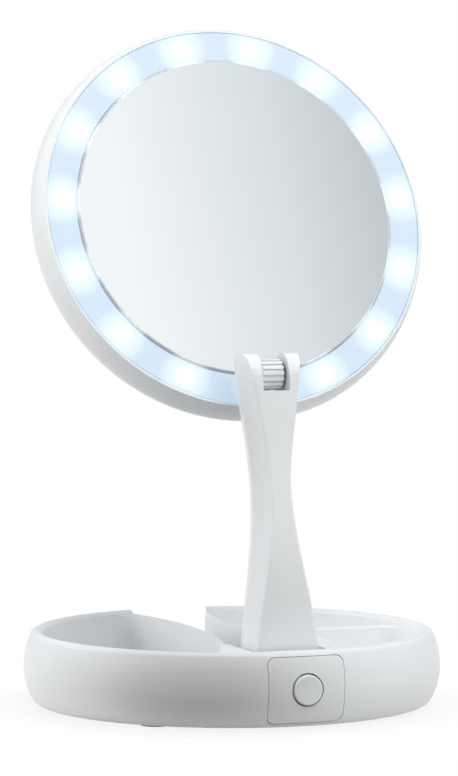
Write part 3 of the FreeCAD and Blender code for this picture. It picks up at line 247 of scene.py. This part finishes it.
FLOW_SIZE = 40.0
moulded = bpy.data.node_groups.new("moulded_skin", "ShaderNodeTree")
start = moulded.nodes.new("NodeGroupInput")
end = moulded.nodes.new("NodeGroupOutput")
for way, kind, names in (("INPUT", "NodeSocketColor", ("Colour", "Shade")),
                         ("INPUT", "NodeSocketFloat", ("Grain size", "Smoothest", "Roughest")),
                         ("OUTPUT", "NodeSocketColor", ("Colour",)),
                         ("OUTPUT", "NodeSocketFloat", ("Roughness", "Height"))):
    for name in names:
        moulded.interface.new_socket(name, in_out=way, socket_type=kind)
place = moulded.nodes.new("ShaderNodeTexCoord").outputs["Object"]
flow = noise(moulded, scale=FLOW_SIZE, place=place, detail=3.0)
grain = noise(moulded, scale=start.outputs["Grain size"], place=place)
colour = mix_colours(moulded, flow, start.outputs["Colour"], start.outputs["Shade"])
roughness = between(moulded, grain, start.outputs["Smoothest"], start.outputs["Roughest"])
for name, value in (("Colour", colour), ("Roughness", roughness), ("Height", grain)):
    moulded.links.new(value, end.inputs[name])


def moulded_plastic(name, colour, shade, roughness, grain_size=1800.0, grain_depth=0.000002):
    """Moulded plastic with faint flow clouds and the fine grain of the tool's surface."""
    material, tree, shader = blank_material(name)
    skin = tree.nodes.new("ShaderNodeGroup")
    skin.node_tree = moulded
    skin.inputs["Colour"].default_value = (*colour, 1)
    skin.inputs["Shade"].default_value = (*shade, 1)
    skin.inputs["Grain size"].default_value = grain_size
    skin.inputs["Smoothest"].default_value, skin.inputs["Roughest"].default_value = roughness
    tree.links.new(skin.outputs["Colour"], shader.inputs["Base Color"])
    tree.links.new(skin.outputs["Roughness"], shader.inputs["Roughness"])
    emboss(tree, shader, skin.outputs["Height"], depth=grain_depth, strength=0.25)
    return material


def dress(node, material):
    """Give a carried-over solid its finish."""
    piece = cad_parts[node]
    piece.data.materials.clear()
    piece.data.materials.append(material)


satin_white = moulded_plastic("satin_white", (0.84, 0.85, 0.86), (0.81, 0.82, 0.83),
                              roughness=(0.29, 0.35))
dress("base_housing", satin_white)

# Bottom plate, its hinged battery door, four rubber feet and four plate screws: the plate and
# the door are plain moulded plastic, the feet are glued pads and the screws are zinc plated.
plate_grey = moulded_plastic("plate_grey", (0.70, 0.70, 0.71), (0.66, 0.66, 0.67),
                             roughness=(0.45, 0.60), grain_size=900.0, grain_depth=0.00006)
dress("base_plate", plate_grey)
dress("battery_door", plate_grey)
foot_rubber = moulded_plastic("foot_rubber", (0.72, 0.72, 0.73), (0.66, 0.66, 0.67),
                              roughness=(0.70, 0.88), grain_size=700.0, grain_depth=0.00010)
dress("rubber_feet", foot_rubber)


def turned_metal(name, colour, shade, lines_per_metre, roughness):
    """Bare metal with the fine lines left by turning or drawing, stretched along one axis."""
    material, tree, shader = blank_material(name)
    place = tree.nodes.new("ShaderNodeTexCoord").outputs["Object"]
    stretch = tree.nodes.new("ShaderNodeMapping")
    stretch.inputs["Scale"].default_value = lines_per_metre
    tree.links.new(place, stretch.inputs["Vector"])
    lines = noise(tree, scale=1.0, place=stretch.outputs["Vector"], detail=4.0)
    tone = mix_colours(tree, lines, (*colour, 1), (*shade, 1))
    tree.links.new(tone, shader.inputs["Base Color"])
    tree.links.new(between(tree, lines, *roughness), shader.inputs["Roughness"])
    emboss(tree, shader, lines, depth=0.00003, strength=0.2)
    shader.inputs["Metallic"].default_value = 1.0
    return material


zinc_steel = turned_metal("zinc_steel", (0.62, 0.63, 0.65), (0.50, 0.51, 0.53),
                          lines_per_metre=(900, 900, 4000), roughness=(0.34, 0.46))
dress("plate_screws", zinc_steel)

# Battery pack: four round cells in two columns in the bay under the tray, with nickel contact
# plates at the bay's ends and a cone for the coil spring at each column's front end.
CELL_PITCH = 0.0512
cell_jacket, tree, shader = blank_material("cell_jacket")
place = tree.nodes.new("ShaderNodeTexCoord").outputs["Object"]
axes = tree.nodes.new("ShaderNodeSeparateXYZ")
tree.links.new(place, axes.inputs["Vector"])
cell_part = sums(tree, "DIVIDE", sums(tree, "WRAP", axes.outputs["Y"], CELL_PITCH, 0.0), CELL_PITCH)
bands = ramp(tree, cell_part, (0.0, (0.55, 0.33, 0.16)), (0.30, (0.07, 0.07, 0.08)),
             ease="CONSTANT")
tree.links.new(bands, shader.inputs["Base Color"])
scuffs = between(tree, noise(tree, scale=300.0, place=place), low=0.33, high=0.45)
tree.links.new(scuffs, shader.inputs["Roughness"])
shader.inputs["Metallic"].default_value = 0.6
dress("battery_cells", cell_jacket)
nickel = turned_metal("nickel", (0.75, 0.74, 0.71), (0.66, 0.65, 0.62),
                      lines_per_metre=(600, 3000, 600), roughness=(0.29, 0.37))
dress("battery_contacts", nickel)
dress("battery_springs", nickel)

# Button panel and push button: a flush panel snapped into the wall and a round cap in it,
# slightly glossier than the housing; behind them a small switch on its own board.
panel_white = moulded_plastic("panel_white", (0.82, 0.83, 0.84), (0.80, 0.81, 0.82),
                              roughness=(0.29, 0.34))
dress("button_panel", panel_white)
button_white = moulded_plastic("button_white", (0.84, 0.85, 0.86), (0.82, 0.83, 0.84),
                               roughness=(0.29, 0.33))
dress("power_button", button_white)
switch_black = moulded_plastic("switch_black", (0.03, 0.03, 0.033), (0.022, 0.022, 0.024),
                               roughness=(0.42, 0.55))
dress("switch_body", switch_black)
dress("switch_plunger", switch_black)


def circuit_board(name, mask, copper, pitch):
    """Green solder mask with the faint raised lines of the copper tracks under it."""
    material, tree, shader = blank_material(name)
    place = tree.nodes.new("ShaderNodeTexCoord").outputs["Object"]
    tracks = tree.nodes.new("ShaderNodeTexBrick")
    darker_mask = [tone * 0.9 for tone in mask]
    tracks.inputs["Color1"].default_value = (*mask, 1)
    tracks.inputs["Color2"].default_value = (*darker_mask, 1)
    tracks.inputs["Mortar"].default_value = (*copper, 1)
    tracks.inputs["Scale"].default_value = pitch
    tracks.inputs["Mortar Size"].default_value = 0.03
    tree.links.new(place, tracks.inputs["Vector"])
    tree.links.new(tracks.outputs["Color"], shader.inputs["Base Color"])
    emboss(tree, shader, tracks.outputs["Fac"], depth=0.00004, strength=1.0)
    shader.inputs["Roughness"].default_value = 0.35
    return material


board_green = circuit_board("board_green", (0.02, 0.16, 0.07), (0.10, 0.30, 0.14), pitch=300.0)
dress("switch_board", board_green)

# Arm: two moulded shells screwed together on the parting plane, turning on a steel pin in the
# base; the wire to the lamps runs up inside.
dress("arm_front_shell", satin_white)
dress("arm_rear_shell", satin_white)
dress("arm_screws", zinc_steel)
pin_steel = turned_metal("pin_steel", (0.66, 0.67, 0.69), (0.56, 0.57, 0.59),
                         lines_per_metre=(300, 5000, 5000), roughness=(0.29, 0.37))
dress("base_hinge_pin", pin_steel)
wire_black = moulded_plastic("wire_black", (0.04, 0.04, 0.045), (0.03, 0.03, 0.033),
                             roughness=(0.50, 0.65))
dress("arm_wire", wire_black)

# Head hinge: a ribbed barrel between the fork's ears on a second pin, with a nylon friction
# washer each side; its lug is screwed to the head's web.
dress("head_hinge_pin", pin_steel)
washer_nylon = moulded_plastic("washer_nylon", (0.14, 0.14, 0.15), (0.11, 0.11, 0.12),
                               roughness=(0.40, 0.52))
dress("friction_washers", washer_nylon)
dress("hinge_knuckle", satin_white)
dress("knuckle_screws", zinc_steel)

# Head shell: one deep satin white moulding with a bulged rim, in the same plastic as the base;
# a web inside parts the two mirrors.
dress("head_shell", satin_white)

# Light ring: a frosted translucent cover over a ring of lamps on their own board; each lamp shows
# through it as a soft bright spot on a cool white glow.
ARM_FOOT = Vector((0.0, -0.0495, 0.0144))
ARM_LENGTH = 0.1185
ARM_LEAN = math.radians(4.5)
HEAD_REACH = 0.069
HEAD_SETBACK = 0.0136
HEAD_TILT = math.radians(19.4)
LAMP_COUNT = 15
LAMP_CIRCLE = 0.07125
LAMP_STEP = 2 * math.pi / LAMP_COUNT
SPOT_REACH = 0.015
arm_up = Vector((0.0, math.sin(ARM_LEAN), math.cos(ARM_LEAN)))
head_up = Vector((0.0, math.sin(HEAD_TILT), math.cos(HEAD_TILT)))
head_back = Vector((0.0, math.cos(HEAD_TILT), -math.sin(HEAD_TILT)))
arm_top = ARM_FOOT + ARM_LENGTH * arm_up
head_middle = arm_top + HEAD_REACH * head_up + HEAD_SETBACK * head_back


def length(tree, across, up):
    """The length of a flat offset."""
    squares = [sums(tree, "MULTIPLY", side, side) for side in (across, up)]
    return sums(tree, "SQRT", sums(tree, "ADD", *squares))


def around_head(tree, place):
    """A point's distance from the head's axis, and its angle from the nearest gap of the lamps."""
    upright = tree.nodes.new("ShaderNodeMapping")
    upright.vector_type = "TEXTURE"
    upright.inputs["Location"].default_value = head_middle
    upright.inputs["Rotation"].default_value = (-HEAD_TILT, 0.0, 0.0)
    axes = tree.nodes.new("ShaderNodeSeparateXYZ")
    tree.links.new(place, upright.inputs["Vector"])
    tree.links.new(upright.outputs["Vector"], axes.inputs["Vector"])
    across, up = axes.outputs["X"], axes.outputs["Z"]
    turn = sums(tree, "ARCTAN2", across, up)
    return length(tree, across, up), sums(tree, "PINGPONG", turn, LAMP_STEP / 2)


frosted, tree, shader = blank_material("frosted_cover")
place = tree.nodes.new("ShaderNodeTexCoord").outputs["Object"]
radius, from_gap = around_head(tree, place)
from_lamp = sums(tree, "SUBTRACT", LAMP_STEP / 2, from_gap)
sideways = sums(tree, "MULTIPLY", from_lamp, LAMP_CIRCLE)
outwards = sums(tree, "SUBTRACT", radius, LAMP_CIRCLE)
spread = sums(tree, "DIVIDE", length(tree, sideways, outwards), SPOT_REACH)
spot = ramp(tree, spread,
            (0.12, (0.72, 0.76, 0.76)), (0.42, (0.48, 0.59, 0.65)), (0.80, (0.33, 0.44, 0.56)),
            ease="EASE")
tree.links.new(spot, shader.inputs["Emission Color"])
shader.inputs["Emission Strength"].default_value = 1.0
frost = noise(tree, scale=2200.0, place=place)
frost_tone = ramp(tree, frost, (0.0, (0.30, 0.32, 0.34)), (1.0, (0.34, 0.36, 0.38)))
tree.links.new(frost_tone, shader.inputs["Base Color"])
emboss(tree, shader, frost, depth=0.00003, strength=0.3)
shader.inputs["Roughness"].default_value = 0.38
dress("light_ring", frosted)
dress("led_board", board_green)
lamp_face, tree, shader = blank_material("lamp_face")
place = tree.nodes.new("ShaderNodeTexCoord").outputs["Object"]
warm = ramp(tree, noise(tree, scale=500.0, place=place),
            (0.0, (0.95, 0.90, 0.70)), (1.0, (1.0, 0.98, 0.90)))
tree.links.new(warm, shader.inputs["Base Color"])
tree.links.new(warm, shader.inputs["Emission Color"])
shader.inputs["Emission Strength"].default_value = 1.0
shader.inputs["Roughness"].default_value = 0.3
dress("led_chips", lamp_face)


# Mirrors: in front flat silvered glass with a ground edge, on a foam pad and a moulded carrier; at
# the back a dished magnifying glass in a snap-in bezel. The front glass's ground edge carries a
# painted reflection of the lit ring, light beside each lamp and darker in the gaps. The dish's mesh
# has one wrong normal, so its normals are worked out from the centre of the dish.
def silver_coat(tree, place):
    """The tone and the roughness that a faint haze gives a silvered face."""
    haze = noise(tree, scale=30.0, place=place, detail=4.0)
    tone = ramp(tree, haze, (0.0, (0.90, 0.91, 0.92)), (1.0, (0.94, 0.945, 0.95)))
    return tone, between(tree, haze, low=0.02, high=0.05)


GLASS_EDGE = 0.0646
PLATED_EDGE = 0.0640
EDGE_ROUGHNESS = 0.45
front_glass, tree, shader = blank_material("front_glass")
place = tree.nodes.new("ShaderNodeTexCoord").outputs["Object"]
tone, roughness = silver_coat(tree, place)
radius, from_gap = around_head(tree, place)
to_lamp = sums(tree, "SUBTRACT", 1.0, sums(tree, "DIVIDE", from_gap, LAMP_STEP / 2))
# Painted reflection of the lit ring on the ground edge: light beside each lamp, darker in the gaps
# between lamps.
ring_reflection_painted = ramp(tree, to_lamp, (0.30, (0.92, 0.94, 0.95)), (0.62, (0.52, 0.55, 0.58)))
plated = tree.nodes.new("ShaderNodeMapRange")
plated.inputs["From Min"].default_value = GLASS_EDGE
plated.inputs["From Max"].default_value = PLATED_EDGE
face_roughness = tree.nodes.new("ShaderNodeMix")
face_roughness.inputs["A"].default_value = EDGE_ROUGHNESS
tree.links.new(radius, plated.inputs["Value"])
tree.links.new(plated.outputs["Result"], face_roughness.inputs["Factor"])
tree.links.new(roughness, face_roughness.inputs["B"])
face_tone = mix_colours(tree, plated.outputs["Result"], ring_reflection_painted, tone)
tree.links.new(face_tone, shader.inputs["Base Color"])
tree.links.new(plated.outputs["Result"], shader.inputs["Metallic"])
tree.links.new(face_roughness.outputs["Result"], shader.inputs["Roughness"])
dress("front_mirror", front_glass)

DISH_RIM = 0.06965
DISH_DEPTH = 0.0044
DISH_SETBACK = 0.0108
dish_radius = (DISH_RIM ** 2 + DISH_DEPTH ** 2) / (2 * DISH_DEPTH)
dish_centre = head_middle + (DISH_SETBACK + dish_radius) * head_back
rear_glass, tree, shader = blank_material("rear_glass")
place = tree.nodes.new("ShaderNodeTexCoord").outputs["Object"]
tone, roughness = silver_coat(tree, place)
inwards = tree.nodes.new("ShaderNodeVectorMath")
inwards.operation = "SUBTRACT"
inwards.inputs[0].default_value = dish_centre
unit = tree.nodes.new("ShaderNodeVectorMath")
unit.operation = "NORMALIZE"
true_dish = tree.nodes.new("ShaderNodeVectorTransform")
true_dish.vector_type = "NORMAL"
true_dish.convert_from = "OBJECT"
true_dish.convert_to = "WORLD"
tree.links.new(place, inwards.inputs[1])
tree.links.new(inwards.outputs["Vector"], unit.inputs[0])
tree.links.new(unit.outputs["Vector"], true_dish.inputs["Vector"])
tree.links.new(true_dish.outputs["Vector"], shader.inputs["Normal"])
tree.links.new(tone, shader.inputs["Base Color"])
tree.links.new(roughness, shader.inputs["Roughness"])
shader.inputs["Metallic"].default_value = 1.0
dress("rear_mirror", rear_glass)
pad_foam = moulded_plastic("pad_foam", (0.85, 0.85, 0.80), (0.78, 0.78, 0.74),
                           roughness=(0.80, 0.95), grain_size=500.0, grain_depth=0.00015)
dress("mirror_pad", pad_foam)
dress("mirror_carrier", plate_grey)
dress("rear_bezel", satin_white)
